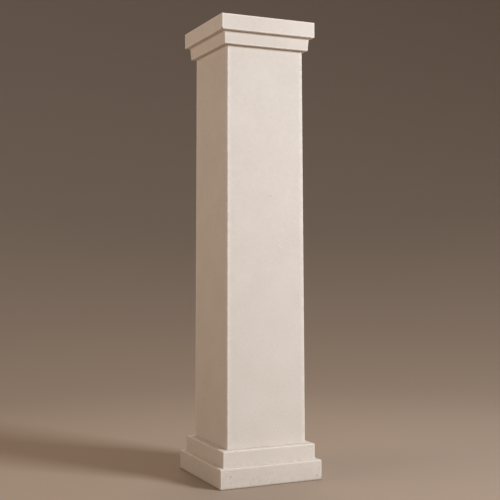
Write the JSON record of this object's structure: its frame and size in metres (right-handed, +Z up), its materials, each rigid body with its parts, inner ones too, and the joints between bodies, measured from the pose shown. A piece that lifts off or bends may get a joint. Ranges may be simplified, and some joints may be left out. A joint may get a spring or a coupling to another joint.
{
  "type": "square doric column",
  "caption": "Square Doric column of cast stone: stepped base, plain tapering shaft and banded capital; stands on its base and carries a load on its top.",
  "frame": {"origin": "centre of the underside of the base, at floor level", "axes": "+Z up along the axis of the column; X and Y square to its faces"},
  "size_m": [0.576, 0.576, 2.4],
  "materials": {
    "cast_stone": "matt, off-white warm limestone colour, fine grain with small pits"
  },
  "bodies": {
    "root": {"base": "cast_stone", "shaft": "cast_stone", "capital": "cast_stone"}
  },
  "joints": []
}
